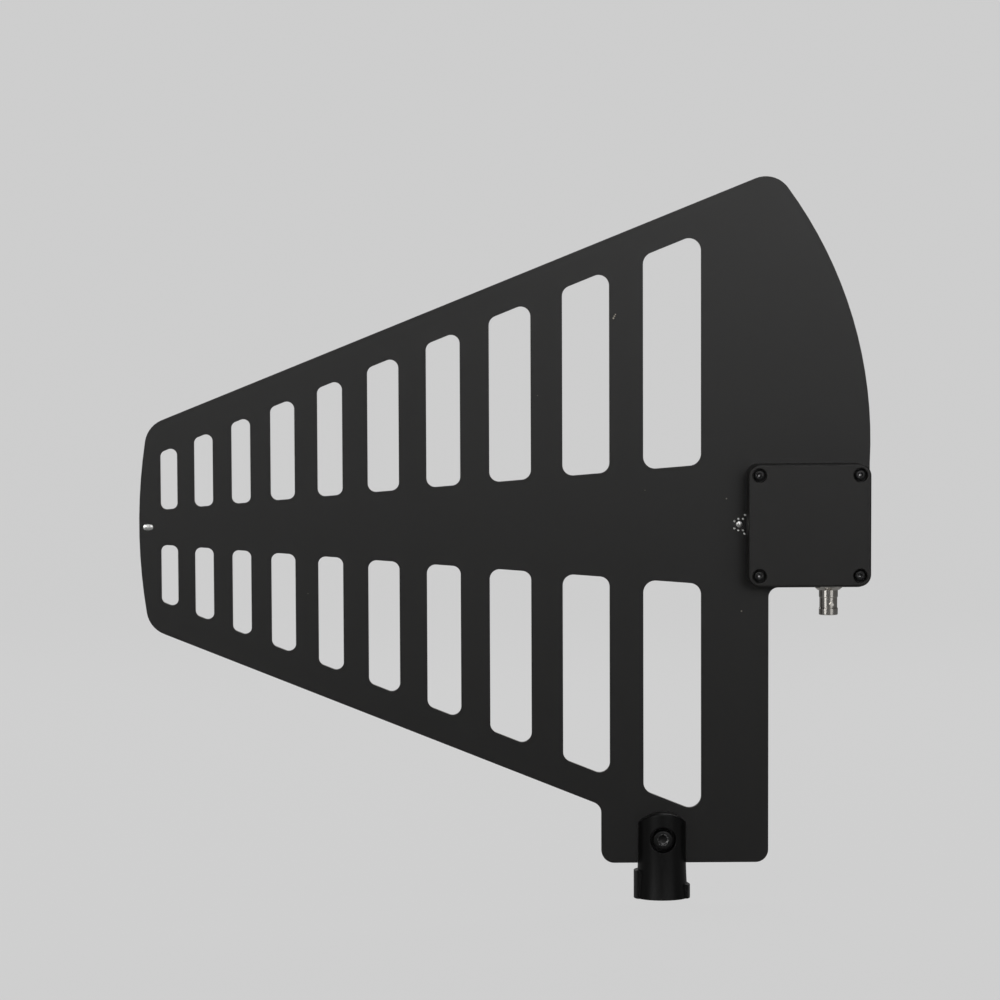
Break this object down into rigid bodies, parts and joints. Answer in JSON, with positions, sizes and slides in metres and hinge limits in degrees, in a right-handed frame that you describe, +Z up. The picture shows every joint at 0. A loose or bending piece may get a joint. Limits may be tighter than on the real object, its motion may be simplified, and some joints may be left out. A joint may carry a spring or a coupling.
{
  "type": "directional paddle antenna",
  "caption": "Flat slotted board antenna for radio microphones, with a square amplifier box, a bayonet coaxial jack below it and a stand mount clamped to its leg.",
  "frame": {"origin": "centre of the stand thread's mouth, at the foot of the mount", "axes": "+Z up, out of the thread into the antenna; the board lies in the XZ plane with its narrow nose towards -X, and the amplifier box's larger half and the clamp screw's head face -Y"},
  "size_m": [0.3723, 0.033, 0.3678],
  "materials": {
    "board_mask": "matt black solder mask on glass laminate",
    "box_coating": "fine matt black coating",
    "mount_black": "satin moulded black",
    "black_screw": "black oxide",
    "nickel": "bright nickel plate",
    "solder": "bright solder",
    "tin_plate": "tin plate",
    "zinc_steel": "zinc plate",
    "gold_contact": "gold plate",
    "insert_brass": "turned brass",
    "white_plastic": "waxy white fluoropolymer",
    "inner_board": "green solder mask",
    "chip_black": "moulded epoxy",
    "ceramic_tan": "fired ceramic"
  },
  "bodies": {
    "root": {"antenna_board": "board_mask", "nose_solder": "solder", "feed_solder": "solder", "ground_vias": "solder", "front_cover": "box_coating", "rear_cover": "box_coating", "cover_screw_1": "black_screw", "cover_screw_2": "black_screw", "cover_screw_3": "black_screw", "cover_screw_4": "black_screw", "amplifier_board": "inner_board", "board_pins": "solder", "shield_can": "tin_plate", "amplifier_chip": "chip_black", "filter_blocks": "tin_plate", "regulator_chip": "chip_black", "bias_coil": "chip_black", "capacitors": "ceramic_tan", "jack_shell": "nickel", "jack_insulator": "white_plastic", "jack_contact": "gold_contact", "signal_link": "tin_plate", "lock_washer": "nickel", "panel_nut": "nickel", "mount_body": "mount_black", "thread_insert": "insert_brass", "clamp_screw": "black_screw", "clamp_washer": "black_screw", "clamp_nut": "zinc_steel"}
  },
  "joints": []
}
